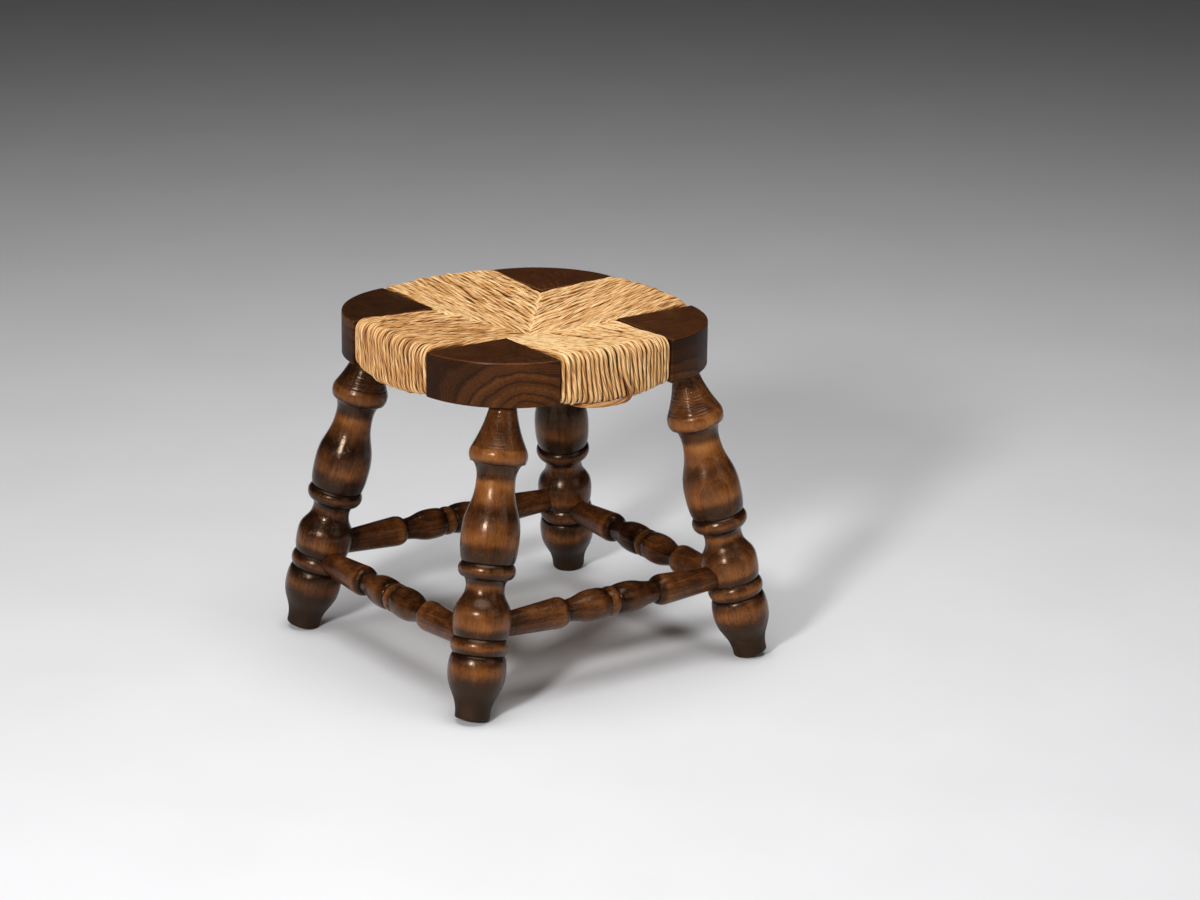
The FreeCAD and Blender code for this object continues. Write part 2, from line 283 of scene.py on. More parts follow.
stretcherWood = dict(
    legWood,
    heights={"front_right": 0.083, "back_right": 0.072, "back_left": 0.083, "front_left": 0.072},
    length=0.150,
    bands=[  # distance from the middle, how light the stain is
        (0.000, 0.46), (0.005, 0.32), (0.0062, 0.01), (0.0085, 0.14), (0.019, 0.32), (0.034, 0.26),
        (0.046, 0.16), (0.052, 0.04), (0.0545, 0.18), (0.060, 0.46), (0.070, 0.35),
        (0.100, 0.32), (0.130, 0.20), (0.145, 0.05),
    ],
    shader={"Specular IOR Level": 0.30, "Specular Tint": woodTones["sheen"]},
    latheMask=[(0.0, 0.3), (0.060, 0.3), (0.064, 0.8), (0.145, 0.8)],
    heart=(0.01, 0.01, -0.034),
    ringDepth=0.05,
    blotchDepth=0.12,
    gloss=(0.12, 0.19),
    dullness=[(0.060, 0.0), (0.110, 0.14)],
)

for side in sideTurns:
    ends = []
    for corner in sideCorners[side]:
        foot, socket = legLine(corner)
        ends.append(foot + (socket - foot) * (stretcherWood["heights"][side] / socket.z))
    material, tree = newMaterial(side + "StretcherWood")
    local, back = axisMapping(tree, (ends[0] + ends[1]) / 2, (ends[1] - ends[0]).normalized())
    along = calc(tree, "ABSOLUTE", put(tree, "ShaderNodeSeparateXYZ", {0: local}).outputs[2])
    heart = back @ Vector(stretcherWood["heart"])
    turnedWood(tree, local, along, heart, stretcherWood["ringDepth"], 0.0, 1.0, stretcherWood)
    wear(side + "_stretcher", material)
print("stretchers stained")


# seat blocks, with the growth rings showing on the rounded outer face

blockWood = {
    "hearts": {  # middle of the growth rings: sideways and up from the middle of the block
        "front": (0.036, -0.028), "right": (-0.060, -0.05), "back": (0.02, 0.06), "left": (0.05, 0.05),
    },
    "heartTilt": 0.12,
    "shader": {"Specular IOR Level": 0.16, "Specular Tint": woodTones["sheen"]},
    "reach": 0.110,
    "rings": [  # distance from the heart, how light the stain is
        (0.000, 0.24), (0.006, 0.34), (0.012, 0.31), (0.016, 0.17), (0.0175, 0.33), (0.023, 0.33),
        (0.0265, 0.18), (0.028, 0.31), (0.034, 0.36), (0.040, 0.28), (0.043, 0.14), (0.045, 0.28),
        (0.052, 0.35), (0.056, 0.14), (0.058, 0.25), (0.066, 0.28), (0.071, 0.11), (0.074, 0.18),
        (0.084, 0.20), (0.090, 0.10), (0.110, 0.13),
    ],
    "flatten": 1.45, "bend": 0.017, "bendScale": 32.0,
    "lineTurns": 2400.0, "lineDepth": 0.045, "fadeScale": 26.0, "fade": (0.40, 0.60), "faintest": 0.1,
    "topTones": {"front": 0.24, "right": 0.28, "back": 0.27, "left": 0.18}, "topSlope": (0.55, 0.8),
    # the arris is paler, partly rubbed wear and partly a painted highlight, and glossier
    "arrisWearAndHighlight": 0.16, "wornGloss": 0.26, "arrisStart": (0.12, 0.3), "arrisEnd": (0.75, 0.95),
    "stretch": 0.10, "grainScale": 420.0, "grainDepth": 0.05, "fineScale": 1300.0, "fineDepth": 0.035,
    "blotchScale": 38.0, "blotchDepth": 0.035, "waveHeight": 0.0003, "gloss": (0.42, 0.52),
    "fleckStretch": 0.2, "fleckScale": 1000.0, "fleckEdge": (0.60, 0.68), "fleckDepth": 0.08,
    "fleckHeight": 0.00003,
}


def blockMaterial(corner):
    s = blockWood
    material, tree = newMaterial(corner + "BlockWood")
    low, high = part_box(corner + "_corner_block")
    angle = math.radians(cornerAngles[corner])
    outwards = Vector((math.cos(angle), math.sin(angle), s["heartTilt"])).normalized()
    sideways = Vector((-math.sin(angle), math.cos(angle), 0))
    heartSide, heartUp = s["hearts"][corner]
    heart = (low + high) / 2 + sideways * heartSide + Vector((0, 0, heartUp))
    local = axisMapping(tree, heart, outwards)[0]
    stretched = vectorCalc(tree, "MULTIPLY", local, (1.0, 1.0, s["stretch"]))
    flattened = vectorCalc(tree, "MULTIPLY", local, (1, s["flatten"], 0))
    apart = put(tree, "ShaderNodeVectorMath", {0: flattened}, operation="LENGTH").outputs["Value"]
    apart = calc(tree, "SUBTRACT", apart, s["bend"] / 2)
    bent = addScaled(tree, mottle(tree, stretched, s["bendScale"], 3.0, 0.5), s["bend"], apart)
    broad = toneAlong(tree, bent, s["reach"], s["rings"], "EASE")
    fade = spread(tree, mottle(tree, local, s["fadeScale"], 2.0), *s["fade"], s["faintest"], 1.0)
    lines = calc(tree, "SINE", calc(tree, "MULTIPLY", bent, s["lineTurns"]))
    lines = calc(tree, "MULTIPLY", lines, fade)
    # the figure belongs to the end grain, so it goes from the flat top
    facing = put(tree, "ShaderNodeNewGeometry").outputs["Normal"]
    upright = put(tree, "ShaderNodeSeparateXYZ", {0: facing}).outputs[2]
    topTone = (*grey(s["topTones"][corner]), 1)
    total = mixColour(tree, spread(tree, upright, *s["topSlope"]), broad, topTone)
    # only the rounded arrises slope, so that is where the stain is paler: partly rubbed wear, partly a painted
    # highlight
    start, end = spread(tree, upright, *s["arrisStart"]), spread(tree, upright, *s["arrisEnd"])
    arris = calc(tree, "MAXIMUM", calc(tree, "SUBTRACT", start, end), 0.0)
    grain = mottle(tree, stretched, s["grainScale"], 4.0, 0.6, 0.3)
    fine = mottle(tree, stretched, s["fineScale"], 2.0)
    blotch = mottle(tree, local, s["blotchScale"], 3.0)
    fleckSpace = vectorCalc(tree, "MULTIPLY", local, (1, 1, s["fleckStretch"]))
    flecks = spread(tree, mottle(tree, fleckSpace, s["fleckScale"], 1.0), *s["fleckEdge"])
    for value, depth in [
        (arris, s["arrisWearAndHighlight"]),
        (lines, s["lineDepth"]),
        (evened(tree, grain), s["grainDepth"]),
        (evened(tree, fine), s["fineDepth"]),
        (evened(tree, blotch), s["blotchDepth"]),
        (flecks, -s["fleckDepth"]),
    ]:
        total = addScaled(tree, value, depth, total)
    colour = ramp(tree, total, woodTones["stops"])
    normal = bump(tree, flecks, -s["fleckHeight"])
    normal = bump(tree, blotch, s["waveHeight"], normal)
    roughness = addScaled(tree, arris, -s["wornGloss"], evened(tree, blotch, *s["gloss"]))
    finishMaterial(tree, colour, roughness, normal, s["shader"])
    return material


for corner in cornerAngles:
    wear(corner + "_corner_block", blockMaterial(corner))
print("blocks stained")


# bare wood of the seat rails inside the rush

railWood = {
    "deep": (0.070, 0.036, 0.016), "pale": (0.130, 0.072, 0.032), "edges": (0.35, 0.65),
    "stretch": 0.06, "grainScale": 300.0, "grainHeight": 0.0002, "gloss": (0.65, 0.80),
    "shader": {"Specular IOR Level": 0.3},
}


def railMaterial(side):
    s = railWood
    material, tree = newMaterial(side + "RailWood")
    low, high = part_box(side + "_seat_rail")
    turn = math.radians(sideTurns[side])
    local = axisMapping(tree, (low + high) / 2, Vector((math.cos(turn), math.sin(turn), 0)))[0]
    stretched = vectorCalc(tree, "MULTIPLY", local, (1, 1, s["stretch"]))
    grain = mottle(tree, stretched, s["grainScale"], 4.0, 0.6, 0.4)
    colour = ramp(tree, grain, [(s["edges"][0], s["deep"]), (s["edges"][1], s["pale"])])
    roughness = evened(tree, grain, *s["gloss"])
    finishMaterial(tree, colour, roughness, bump(tree, grain, s["grainHeight"]), s["shader"])
    return material


for side in sideTurns:
    wear(side + "_seat_rail", railMaterial(side))
print("rails done")


# rush, twisted into strands

rushFinish = {
    "stops": [
        (0.0, (0.13, 0.043, 0.010)),
        (0.3, (0.42, 0.172, 0.044)),
        (0.6, (0.67, 0.366, 0.134)),
        (0.9, (0.87, 0.615, 0.315)),
    ],
    "base": 0.25,
    "fibreTurns": 5.5, "fibreLength": 0.022, "finerScale": 2.6, "patchTurns": 1.2, "patchLength": 0.05,
    # darkest and lightest value, and how far that moves the colour
    "fibre": (0.25, 0.75, 0.25), "finer": (0.25, 0.75, 0.12), "patch": (0.25, 0.75, 0.14),
    # the creases between the leaves are darkened: painted shade, with some dirt
    "tint": (-4.0, 2.0, 0.42), "creaseShade": (0.06, 0.34, 0.33), "leaf": (0.42, 0.58, 0.13),
    # the sides of the strands that face their neighbours are darkened: painted shade, with some dirt
    "groove": (0.66, 0.98), "grooveDepth": 0.40,
    "fibreHeight": 0.00022, "finerHeight": 0.00011, "gloss": (0.42, 0.60),
    "shader": {"Specular IOR Level": 0.35},
}


def rushMaterial():
    s = rushFinish
    material, tree = newMaterial("twistedRush")

    def stored(name, socket="Fac"):
        return put(tree, "ShaderNodeAttribute", attribute_name=name).outputs[socket]

    place = stored("strandPlace", "Vector")
    fibreSpace = vectorCalc(tree, "MULTIPLY", place, (s["fibreTurns"], s["fibreTurns"], 1 / s["fibreLength"]))
    patchSpace = vectorCalc(tree, "MULTIPLY", place, (s["patchTurns"], s["patchTurns"], 1 / s["patchLength"]))
    fibre = mottle(tree, fibreSpace, 1.0, 3.0, 0.6)
    finer = mottle(tree, fibreSpace, s["finerScale"], 2.0)
    values = {
        "fibre": fibre, "finer": finer, "patch": mottle(tree, patchSpace, 1.0, 2.0),
        "tint": stored("strandTint"), "creaseShade": stored("strandFold"), "leaf": stored("strandLeaf"),
    }
    # the creases between the leaves are darkened here: painted shade, with some dirt
    total = s["base"]
    for name, value in values.items():
        low, high, depth = s[name]
        total = addScaled(tree, spread(tree, value, low, high, -1.0, 1.0), depth, total)
    # the grooves between the strands are darkened: painted shade, with some dirt
    groove = spread(tree, stored("strandGroove"), *s["groove"])
    total = addScaled(tree, groove, -s["grooveDepth"], total)
    colour = ramp(tree, total, s["stops"])
    normal = bump(tree, fibre, s["fibreHeight"])
    normal = bump(tree, finer, s["finerHeight"], normal)
    finishMaterial(tree, colour, evened(tree, fibre, *s["gloss"]), normal, s["shader"])
    return material


rushSettings = {
    "strands": {"front_right": 26, "back_right": 25, "back_left": 26, "front_left": 25},
    "slant": {"back_right": 0.0030, "back_left": -0.0025, "front_left": 0.0050},  # sideways on the way down
    "seeds": {"front_right": 11, "back_right": 23, "back_left": 37, "front_left": 41},
    "tints": {"front_right": 0.74, "back_right": -0.65, "back_left": -0.38, "front_left": -1.36},
    # darker where the strands run over the face: painted shade
    "faceShades": {"front_right": -1.34, "back_right": -0.45, "back_left": -0.45, "front_left": -0.08},
    "weaveMiddle": Vector((0.0036, -0.0026, 0.0)),  # the strands meet a little off the middle of the seat
    "thickness": 0.0050,
    "widths": (0.80, 1.20),  # thinnest and thickest strand
    "overlap": (1.06, 0.89),  # of a strand's place in the row, on the seat and on the face
    "gap": 0.0010,  # to the blocks
    "edgeRoom": 0.46,  # of a strand's width, kept from the blocks
    "faceBulge": 0.0073,
    "crownFall": 0.0020,
    "bellyRise": 0.0055,
    "topRound": 0.011,
    "bottomRound": 0.009,
    "seatDip": 0.0215,
    "cornerDip": 0.0005,
    "middleThickness": 0.0145,
    "crownLean": 0.5,
    "arcSteps": {"dive": 5, "crown": 6, "belly": 5},
    "faceSteps": 5,  # points over which the seat passes into the face
    "diveRadius": 0.0045,
    "diveTurn": 72,
    "diveTail": 0.005,
    "diveTaper": 0.45,
    "diveTaperSteps": 5,
    "seamJitter": 0.0014,
    "seamBend": 0.0045,  # the ends lean towards the middle of the seat
    "seamBendLength": 0.018,
    "seamTint": 1.0,  # paler towards the middle of the seat
    "seamTintSteps": 22,
    "bunching": 0.0024,  # neighbours drift together
    "bunchPace": 0.5,
    "bunchWidth": 0.03,
    "wobble": 0.0020,  # each strand drifts by itself
    "wobbleLength": 0.034,
    "endSway": 0.3,  # share of the drift that the strands by the blocks keep
    "faceCalm": 0.6,  # share of the drift that goes on the face
    "lift": 0.0012,
    "swell": 0.18,
    "swellLength": 0.022,
    "seedStep": 3.7,
    "noiseRows": {"wobble": 0.3, "bunching": 5.5, "lift": 9.1, "swell": 21.7},
    "step": 0.003,
    "ringSpacing": 0.0022,
    "ringPoints": 24,
    "twistLength": 0.075,
    "flatness": (0.16, 0.08),  # how much thinner than wide a strand is, on the seat and on the face
    "ridgeHeight": 0.0013,
    "faceRidge": 0.55,  # the creases are flatter where the strands are pulled over the rail
    "ridgeTurns": 2.7,
    "ridgeLength": 0.048,
    "creasePower": 0.55,
    # a slack strand on the front right: across, behind the face and height on its way under the seat
    "slackStart": 0.0035,
    "slackSplit": 0.0094,
    "slackPath": [
        (0.0034, 0.0026, 0.3240), (0.0040, 0.0016, 0.3130), (0.0064, -0.0006, 0.3010),
        (0.0092, -0.0014, 0.2935), (0.0106, 0.0000, 0.2886), (0.0092, 0.0014, 0.2851),
        (0.0044, 0.0022, 0.2833), (-0.0030, 0.0026, 0.2826), (-0.0120, 0.0034, 0.2825),
        (-0.0220, 0.0050, 0.2827), (-0.0310, 0.0085, 0.2827), (-0.0370, 0.0160, 0.2824),
        (-0.0390, 0.0300, 0.2832), (-0.0380, 0.0550, 0.2868), (-0.0350, 0.0850, 0.2915),
        (-0.0340, 0.1120, 0.2965),
    ],
    "slackWidth": 1.10,
    # darker where the slack strand hangs below the seat: painted shade
    "slackShade": -1.7,
    "slackSteps": 4,
}

blockLow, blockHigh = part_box("back_corner_block")
halfSpan = blockLow.x
seatTop = blockHigh.z


def held(value):
    return min(1.0, max(0.0, value))


def mixed(pair, share):
    return pair[0] + (pair[1] - pair[0]) * share


class RushSide:
    # the outer surface of one panel of rush, in the frame of the side that faces -Y
    def __init__(self, side):
        s = rushSettings
        self.turn = Matrix.Rotation(math.radians(sideTurns[side]), 3, "Z")
        low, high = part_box("front_right_rush_panel")
        self.faceMiddle, self.crownMiddle, self.bellyMiddle = -low.y, high.z, low.z
        middle = self.turn.inverted() @ s["weaveMiddle"]
        self.middleAcross, self.middleOut = middle.x, -middle.y

    def face(self, across):
        return self.faceMiddle - rushSettings["faceBulge"] * (across / halfSpan) ** 2

    def crown(self, across):
        return self.crownMiddle - rushSettings["crownFall"] * (across / halfSpan) ** 2

    def belly(self, across):
        return self.bellyMiddle + rushSettings["bellyRise"] * (across / halfSpan) ** 2

    def seamOut(self, across):
        edge = math.copysign(halfSpan, across - self.middleAcross)
        share = (across - self.middleAcross) / (edge - self.middleAcross)
        return self.middleOut + (halfSpan - self.middleOut) * share

    def seamTop(self, across):
        s = rushSettings
        share = (self.seamOut(across) - self.middleOut) / (halfSpan - self.middleOut)
        return seatTop - s["seatDip"] + (s["seatDip"] - s["cornerDip"]) * share

    def bottom(self, across, out):
        s = rushSettings
        middle = seatTop - s["seatDip"] - s["middleThickness"]
        return middle + (self.belly(across) - middle) * out / (self.face(across) - s["bottomRound"])

    def place(self, across, out, height):
        return self.turn @ Vector((across, -out, height))


def arcPoints(centre, radius, start, end, count):
    points = []
    for k in range(count + 1):
        angle = math.radians(start + (end - start) * k / count)
        points.append((centre[0] + radius * math.cos(angle), centre[1] + radius * math.sin(angle)))
    return points


def straightPoints(start, end):
    length = math.dist(start, end)
    count = max(2, round(length / rushSettings["step"]))
    return [
        (start[0] + (end[0] - start[0]) * k / count, start[1] + (end[1] - start[1]) * k / count)
        for k in range(1, count)
    ]


def strandSection(rush, top, bottom, jitter):
    # middle line of one strand as (out, height), the share of the way down at each point, where the crown ends
    s = rushSettings
    steps = s["arcSteps"]
    r = s["thickness"] / 2
    face = rush.face(top)
    crownOut, crownTop = face - s["topRound"], rush.crown(top)
    seamOut, seamTop = rush.seamOut(top) + jitter, rush.seamTop(top)
    slope = math.atan2(crownTop - seamTop, crownOut - seamOut)
    seamPoint = (seamOut + r * math.sin(slope), seamTop - r * math.cos(slope))
    crownPoint = (crownOut + r * math.sin(slope) * s["crownLean"], crownTop - r)
    d, turn, tail = s["diveRadius"], s["diveTurn"], s["diveTail"]
    down = math.radians(turn)
    path = arcPoints((seamPoint[0], seamPoint[1] - d), d, 90 + turn, 90, steps["dive"])
    path.insert(0, (path[0][0] - tail * math.cos(down), path[0][1] - tail * math.sin(down)))
    path += straightPoints(seamPoint, crownPoint)
    path += arcPoints((crownOut, crownTop - s["topRound"]), s["topRound"] - r, 90, 0, steps["crown"])
    downStart = len(path) - 1
    face, belly = rush.face(bottom), rush.belly(bottom)
    bellyCentre = (face - s["bottomRound"], belly + s["bottomRound"])
    path += straightPoints(path[-1], (face - r, bellyCentre[1]))
    path += arcPoints(bellyCentre, s["bottomRound"] - r, 0, -90, steps["belly"])
    downEnd = len(path) - 1
    under = rush.seamOut(bottom)
    underPoint = (under, rush.bottom(bottom, under) + r)
    path += straightPoints(path[-1], underPoint)
    path += arcPoints((under, underPoint[1] + d), d, 270, 270 - turn, steps["dive"])
    path.append((path[-1][0] - tail * math.cos(down), path[-1][1] + tail * math.sin(down)))
    shares = []
    for k in range(len(path)):
        share = held((k - downStart) / (downEnd - downStart))
        shares.append(share * share * (3 - 2 * share))
    return path, shares, downStart


def spacedOut(widths, low, high):
    # middles of strands of these widths, side by side from low to high
    factor = (high - low) / sum(widths)
    return [low + factor * (sum(widths[:k]) + widths[k] / 2) for k in range(len(widths))]


def rowOfStrands(side, widths):
    # middles of the strands on the seat and below, how much wider each gets on the way, and the slack one
    s = rushSettings
    edge = halfSpan - s["gap"]
    tops = spacedOut(widths, -edge, edge)
    if side != "front_right":
        bottoms = [top + s["slant"][side] * (1 - (top / halfSpan) ** 2) for top in tops]
        return tops, bottoms, [1.0] * len(widths), None
    # the others close up under the slack strand
    slack = min(range(len(widths)), key=lambda k: abs(tops[k] - s["slackStart"]))
    left, right, split = widths[:slack], widths[slack + 1:], s["slackSplit"]
    bottoms = spacedOut(left, -edge, split) + [split] + spacedOut(right, split, edge)
    factor = 2 * edge / sum(widths)
    leftShare = (edge + split) / (factor * sum(left))
    rightShare = (edge - split) / (factor * sum(right))
    return tops, bottoms, [leftShare if k < slack else rightShare for k in range(len(widths))], slack


def overRail(k, crownEnd):
    # 0 on the seat, 1 on the face
    steps = rushSettings["faceSteps"]
    return held((k - crownEnd + steps) / steps)


def strandSpots(side, rush, section, top, bottom, limit, seed):
    # points of one strand as (across, out, height), with its drift
    s = rushSettings
    rows = s["noiseRows"]
    path, shares, crownEnd = section
    reach = 1 - (top / halfSpan) ** 2
    travelled = 0.0
    spots = []
    for k, (out, height) in enumerate(path):
        if k:
            travelled += math.dist(path[k - 1], path[k])
        far = travelled / s["wobbleLength"]
        bunch = Vector((far * s["bunchPace"], top / s["bunchWidth"], s["seeds"][side] + rows["bunching"]))
        sway = noise.noise(Vector((far, seed, rows["wobble"]))) * s["wobble"]
        sway += noise.noise(bunch) * s["bunching"]
        rise = noise.noise(Vector((far, seed, rows["lift"]))) * s["lift"]
        calm = 1 - s["faceCalm"] * overRail(k, crownEnd)
        spot = top + (bottom - top) * shares[k] + sway * calm * mixed((s["endSway"], 1), reach)
        near = max(0.0, 1 - travelled / s["seamBendLength"])
        spot -= math.copysign(s["seamBend"] * near ** 2, top - rush.middleAcross)
        spot = max(-limit, min(limit, spot))
        ahead, behind = path[min(k + 1, len(path) - 1)], path[max(k - 1, 0)]
        run = Vector((ahead[0] - behind[0], ahead[1] - behind[1])).normalized()
        spots.append((spot, out - run.y * rise, height + run.x * rise))
    return spots


def strandMesh(side, rush):
    # points and edges of all middle lines of one panel, with what each point has to carry
    s = rushSettings
    chance = random.Random(s["seeds"][side])
    widths = [chance.uniform(*s["widths"]) for _ in range(s["strands"][side])]
    tops, bottoms, wider, slack = rowOfStrands(side, widths)
    edge = halfSpan - s["gap"]
    factor = 2 * edge / sum(widths)
    points, edges = [], []
    kept = {name: [] for name in ("strandWidth", "strandPhase", "strandTint", "strandFlat", "strandRidge")}
    for number, (top, bottom) in enumerate(zip(tops, bottoms)):
        own = widths[number] * factor
        section = strandSection(rush, top, bottom, chance.uniform(-1, 1) * s["seamJitter"])
        shares, crownEnd = section[1:]
        ownPhase, ownTint = chance.random(), chance.random() + s["tints"][side]
        seed = s["seeds"][side] + number * s["seedStep"]
        spots = strandSpots(side, rush, section, top, bottom, edge - own * s["edgeRoom"], seed)
        if number == slack:
            spots = spots[:crownEnd] + [(a, rush.face(a) - b, h) for a, b, h in s["slackPath"]]
        for k, spot in enumerate(spots):
            row = Vector((k * s["step"] / s["swellLength"], seed, s["noiseRows"]["swell"]))
            swell = 1 + s["swell"] * noise.noise(row)
            hang = held((k - crownEnd) / s["slackSteps"]) if number == slack else 0.0
            if hang:
                swell *= s["slackWidth"]
            fromEnd = min(k, len(spots) - 1 - k)
            if fromEnd < s["diveTaperSteps"]:
                swell *= s["diveTaper"] + (1 - s["diveTaper"]) * fromEnd / s["diveTaperSteps"]
            onFace = overRail(k, crownEnd)
            closing = mixed((1, wider[number]), shares[min(k, len(shares) - 1)])
            paler = s["seamTint"] * max(0.0, 1 - k / s["seamTintSteps"])
            points.append(rush.place(*spot))
            kept["strandWidth"].append(own / 2 * closing * mixed(s["overlap"], onFace) * swell)
            kept["strandPhase"].append(ownPhase)
            # the strands on the face and the hanging part of the slack strand are darkened with painted shade
            kept["strandTint"].append(ownTint + s["faceShades"][side] * onFace + paler + s["slackShade"] * hang)
            kept["strandFlat"].append(mixed(s["flatness"], onFace))
            kept["strandRidge"].append(mixed((1, s["faceRidge"]), onFace))
            if k:
                edges.append((len(points) - 2, len(points) - 1))
    return points, edges, kept


def strandTree(material):
    tree = bpy.data.node_groups.new("rushStrands", "GeometryNodeTree")

    def socket(name, kind, way="INPUT"):
        tree.interface.new_socket(name, in_out=way, socket_type=kind)

    def carried(name):
        return put(tree, "GeometryNodeInputNamedAttribute", {"Name": name}).outputs[0]

    def capture(name, geometry, value):
        node = put(tree, "GeometryNodeCaptureAttribute")
        node.capture_items.new("FLOAT", name)
        tree.links.new(geometry, node.inputs[0])
        tree.links.new(value, node.inputs[1])
        return node.outputs[0], node.outputs[1]

    def store(geometry, name, value, kind="FLOAT"):
        sockets = {"Geometry": geometry, "Name": name, "Value": value}
        return put(tree, "GeometryNodeStoreNamedAttribute", sockets, data_type=kind).outputs[0]

    socket("Strands", "NodeSocketGeometry")
    for name in ("Ring Spacing", "Twist Length", "Ridge Height", "Ridge Turns", "Ridge Length", "Crease Power"):
        socket(name, "NodeSocketFloat")
    socket("Ring Points", "NodeSocketInt")
    socket("Across", "NodeSocketVector")
    socket("Seed", "NodeSocketFloat")
    socket("Panel", "NodeSocketGeometry", "OUTPUT")
    given = tree.nodes.new("NodeGroupInput").outputs

    # tubes along the middle lines, turned as they go
    lines = put(tree, "GeometryNodeMeshToCurve", {"Mesh": given["Strands"]}).outputs[0]
    lines = put(tree, "GeometryNodeCurveSplineType", {"Curve": lines}, spline_type="CATMULL_ROM").outputs[0]
    spacing = {"Curve": lines, "Length": given["Ring Spacing"]}
    lines = put(tree, "GeometryNodeResampleCurve", spacing, mode="LENGTH").outputs[0]
    travelled = put(tree, "GeometryNodeSplineParameter").outputs["Length"]
    twist = calc(tree, "MULTIPLY", calc(tree, "DIVIDE", travelled, given["Twist Length"]), -math.tau)
    lines = put(tree, "GeometryNodeSetCurveTilt", {"Curve": lines, "Tilt": twist}).outputs[0]
    lines, along = capture("Along", lines, travelled)
    ringSockets = {"Resolution": given["Ring Points"], "Radius": 1.0}
    ring = put(tree, "GeometryNodeCurvePrimitiveCircle", ringSockets).outputs[0]
    index = put(tree, "GeometryNodeInputIndex").outputs[0]
    ring, around = capture("Around", ring, calc(tree, "DIVIDE", index, given["Ring Points"]))
    width = carried("strandWidth")
    tubeSockets = {"Curve": lines, "Profile Curve": ring, "Scale": width, "Fill Caps": True}
    tube = put(tree, "GeometryNodeCurveToMesh", tubeSockets).outputs[0]

    # creases between the leaves, which run round with the twist
    phase = carried("strandPhase")
    angle = calc(tree, "MULTIPLY", calc(tree, "ADD", around, phase), math.tau)
    shifted = calc(tree, "ADD", along, phase)
    placeSockets = {0: calc(tree, "COSINE", angle), 1: calc(tree, "SINE", angle), 2: shifted}
    place = put(tree, "ShaderNodeCombineXYZ", placeSockets).outputs[0]
    perLength = calc(tree, "DIVIDE", 1.0, given["Ridge Length"])
    scaleSockets = {0: given["Ridge Turns"], 1: given["Ridge Turns"], 2: perLength}
    scale = put(tree, "ShaderNodeCombineXYZ", scaleSockets).outputs[0]
    foldSockets = {
        "Vector": vectorCalc(tree, "MULTIPLY", place, scale), "W": given["Seed"],
        "Scale": 1.0, "Detail": 1.0, "Roughness": 0.5,
    }
    folds = put(tree, "ShaderNodeTexNoise", foldSockets, noise_dimensions="4D").outputs["Fac"]
    crease = calc(tree, "ABSOLUTE", addScaled(tree, folds, 2.0, -1.0))
    crease = calc(tree, "POWER", crease, given["Crease Power"])

    # thinner one way than the other, so that the turns of the twist show
    edgeOn = calc(tree, "POWER", calc(tree, "SINE", calc(tree, "MULTIPLY", around, math.tau)), 2.0)
    thinner = calc(tree, "MULTIPLY", calc(tree, "MULTIPLY", carried("strandFlat"), width), edgeOn)
    ridgeHeight = calc(tree, "MULTIPLY", given["Ridge Height"], carried("strandRidge"))
    ridge = calc(tree, "MULTIPLY", calc(tree, "SUBTRACT", crease, 0.5), ridgeHeight)
    rise = calc(tree, "SUBTRACT", ridge, thinner)
    outward = put(tree, "GeometryNodeInputNormal").outputs[0]
    offset = put(tree, "ShaderNodeVectorMath", {0: outward, "Scale": rise}, operation="SCALE").outputs[0]
    tube = put(tree, "GeometryNodeSetPosition", {"Geometry": tube, "Offset": offset}).outputs[0]

    # what the material reads; the groove is the side turned to the next strand, which the material darkens with
    # painted shade and some dirt
    sideSockets = {0: outward, 1: given["Across"]}
    sideways = put(tree, "ShaderNodeVectorMath", sideSockets, operation="DOT_PRODUCT").outputs["Value"]
    tube = store(tube, "strandPlace", place, "FLOAT_VECTOR")
    tube = store(tube, "strandFold", crease)
    tube = store(tube, "strandLeaf", folds)
    tube = store(tube, "strandGroove", calc(tree, "ABSOLUTE", sideways))
    tube = put(tree, "GeometryNodeSetShadeSmooth", {"Geometry": tube}).outputs[0]
    tube = put(tree, "GeometryNodeRealizeInstances", {"Geometry": tube}).outputs[0]
    tube = put(tree, "GeometryNodeSetMaterial", {"Geometry": tube, "Material": material}).outputs[0]
    put(tree, "NodeGroupOutput", {0: tube})
    return tree


def plainMesh(source, name):
    depsgraph = bpy.context.evaluated_depsgraph_get()
    mesh = bpy.data.meshes.new_from_object(source.evaluated_get(depsgraph))
    mesh.name = name
    return mesh


def rushPanel(side, tree):
    s = rushSettings
    rush = RushSide(side)
    points, edges, kept = strandMesh(side, rush)
    lines = bpy.data.meshes.new(side + "_lines")
    lines.from_pydata(points, edges, [])
    for name, values in kept.items():
        lines.attributes.new(name, "FLOAT", "POINT").data.foreach_set("value", values)
    piece = bpy.data.objects.new(side + "_woven_rush", lines)
    scene.collection.objects.link(piece)
    modifier = piece.modifiers.new("strands", "NODES")
    modifier.node_group = tree
    inputs = {
        "Ring Spacing": s["ringSpacing"], "Ring Points": s["ringPoints"], "Twist Length": s["twistLength"],
        "Ridge Height": s["ridgeHeight"], "Ridge Turns": s["ridgeTurns"], "Ridge Length": s["ridgeLength"],
        "Crease Power": s["creasePower"], "Seed": float(s["seeds"][side]),
        "Across": tuple(rush.turn @ Vector((1, 0, 0))),
    }
    for item in tree.interface.items_tree:
        if item.in_out == "INPUT" and item.name in inputs:
            modifier[item.identifier] = inputs[item.name]
    mesh = plainMesh(piece, side + "_woven_rush")
    piece.modifiers.clear()
    piece.data = mesh
    bpy.data.meshes.remove(lines)
    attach(piece, "root")
    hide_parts(side + "_rush_panel")
    print(piece.name, "triangles", sum(len(p.vertices) - 2 for p in mesh.polygons))


strands = strandTree(rushMaterial())
for side in sideTurns:
    rushPanel(side, strands)


# stuffing between the two layers of rush

